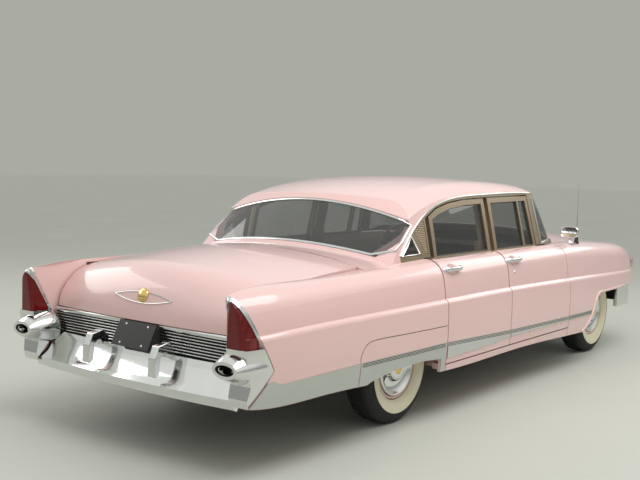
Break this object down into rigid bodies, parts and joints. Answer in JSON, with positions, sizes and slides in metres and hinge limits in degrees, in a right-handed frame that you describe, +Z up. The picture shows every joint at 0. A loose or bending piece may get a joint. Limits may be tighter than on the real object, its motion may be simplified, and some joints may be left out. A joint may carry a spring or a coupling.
{
  "type": "four-door saloon car",
  "caption": "Long four-door saloon with canted tail lamps, skirted rear wheels, opening doors, hood and trunk lid, steered front wheels and wheels that roll",
  "frame": {"origin": "on the ground under the middle of the overall length", "axes": "+X forward, +Y to the car's left, +Z up"},
  "size_m": [5.66, 2.046, 1.5351],
  "materials": {
    "paint": "gloss pale pink",
    "glass": "tinted",
    "chrome": "polished",
    "gold": "satin gold",
    "steel": "plain",
    "black_steel": "satin black",
    "lens": "clear red",
    "lamp_glass": "fluted",
    "plate": "blank",
    "cabin_plastic": "matte",
    "cloth": "woven",
    "tyre": "whitewall"
  },
  "bodies": {
    "body": {"roof": "paint", "windshield": "glass", "backlight": "glass", "quarter_glass": "glass", "pillar_louvres": "gold", "cowl": "paint", "rear_deck": "paint", "hinges": "steel", "sills": "paint", "front_fenders": "paint", "quarter_panels": "paint", "fender_skirts": "paint", "side_mouldings": "chrome", "tail_lamps": "lens", "tail_panel": "chrome", "licence_plate": "plate", "rear_bumper": "chrome", "front_bumper": "chrome", "grille": "chrome", "headlamps": "lamp_glass", "floor_pan": "black_steel", "firewall": "black_steel", "radiator_panel": "black_steel", "parcel_shelf": "cabin_plastic", "chassis_frame": "black_steel", "engine": "black_steel", "drive_line": "black_steel", "front_suspension": "black_steel", "exhaust": "steel", "fuel_tank": "steel", "front_seat": "cloth", "rear_seat": "cloth", "dashboard": "cabin_plastic", "steering_column": "cabin_plastic", "fender_fittings": "chrome"},
    "hood": {"hood": "paint"},
    "trunk_lid": {"trunk_lid": "paint"},
    "steering_wheel": {"steering_wheel": "cabin_plastic"},
    "knuckle_left": {"knuckle_left": "black_steel"},
    "knuckle_right": {"knuckle_right": "black_steel"},
    "door_front_left": {"door_front_left": "paint", "glass_front_left": "glass", "trim_front_left": "chrome"},
    "wheel_front_left": {"wheel_front_left": "chrome", "tyre_front_left": "tyre"},
    "door_front_right": {"door_front_right": "paint", "glass_front_right": "glass", "trim_front_right": "chrome"},
    "wheel_front_right": {"wheel_front_right": "chrome", "tyre_front_right": "tyre"},
    "door_rear_left": {"door_rear_left": "paint", "glass_rear_left": "glass", "trim_rear_left": "chrome"},
    "wheel_rear_left": {"wheel_rear_left": "chrome", "tyre_rear_left": "tyre"},
    "door_rear_right": {"door_rear_right": "paint", "glass_rear_right": "glass", "trim_rear_right": "chrome"},
    "wheel_rear_right": {"wheel_rear_right": "chrome", "tyre_rear_right": "tyre"}
  },
  "joints": [
    {"name": "door_front_left_swing", "type": "hinge", "parent": "body", "child": "door_front_left", "pos_m": [0.9395, 0.993, 0.58], "axis": [0, 0, -1], "range_deg": [0, 65]},
    {"name": "door_front_right_swing", "type": "hinge", "parent": "body", "child": "door_front_right", "pos_m": [0.9395, -0.993, 0.58], "axis": [0, 0, 1], "range_deg": [0, 65]},
    {"name": "door_rear_left_swing", "type": "hinge", "parent": "body", "child": "door_rear_left", "pos_m": [-0.0895, 0.993, 0.58], "axis": [0, 0, -1], "range_deg": [0, 65]},
    {"name": "door_rear_right_swing", "type": "hinge", "parent": "body", "child": "door_rear_right", "pos_m": [-0.0895, -0.993, 0.58], "axis": [0, 0, 1], "range_deg": [0, 65]},
    {"name": "hood_lift", "type": "hinge", "parent": "body", "child": "hood", "pos_m": [1.4, 0, 1.045], "axis": [0, -1, 0], "range_deg": [0, 45]},
    {"name": "trunk_lid_lift", "type": "hinge", "parent": "body", "child": "trunk_lid", "pos_m": [-1.674, 0, 1.049], "axis": [0, 1, 0], "range_deg": [0, 70]},
    {"name": "steering_turn", "type": "hinge", "parent": "body", "child": "steering_wheel", "pos_m": [0.64, 0.37, 0.905], "axis": [-0.9537, 0, 0.3009], "range_deg": [-480, 480]},
    {"name": "knuckle_left_steer", "type": "hinge", "parent": "body", "child": "knuckle_left", "pos_m": [1.95, 0.64, 0.358], "axis": [0, 0, 1], "range_deg": [-30, 30]},
    {"name": "knuckle_right_steer", "type": "hinge", "parent": "body", "child": "knuckle_right", "pos_m": [1.95, -0.64, 0.358], "axis": [0, 0, 1], "range_deg": [-30, 30]},
    {"name": "wheel_front_left_spin", "type": "hinge", "parent": "knuckle_left", "child": "wheel_front_left", "pos_m": [1.95, 0.743, 0.358], "axis": [0, 1, 0], "continuous": true},
    {"name": "wheel_rear_left_spin", "type": "hinge", "parent": "body", "child": "wheel_rear_left", "pos_m": [-1.25, 0.762, 0.358], "axis": [0, 1, 0], "continuous": true},
    {"name": "wheel_front_right_spin", "type": "hinge", "parent": "knuckle_right", "child": "wheel_front_right", "pos_m": [1.95, -0.743, 0.358], "axis": [0, 1, 0], "continuous": true},
    {"name": "wheel_rear_right_spin", "type": "hinge", "parent": "body", "child": "wheel_rear_right", "pos_m": [-1.25, -0.762, 0.358], "axis": [0, 1, 0], "continuous": true}
  ],
  "couplings": [
    {"joint": "knuckle_left_steer", "follows": "steering_turn", "ratio": 0.0625},
    {"joint": "knuckle_right_steer", "follows": "steering_turn", "ratio": 0.0625}
  ]
}
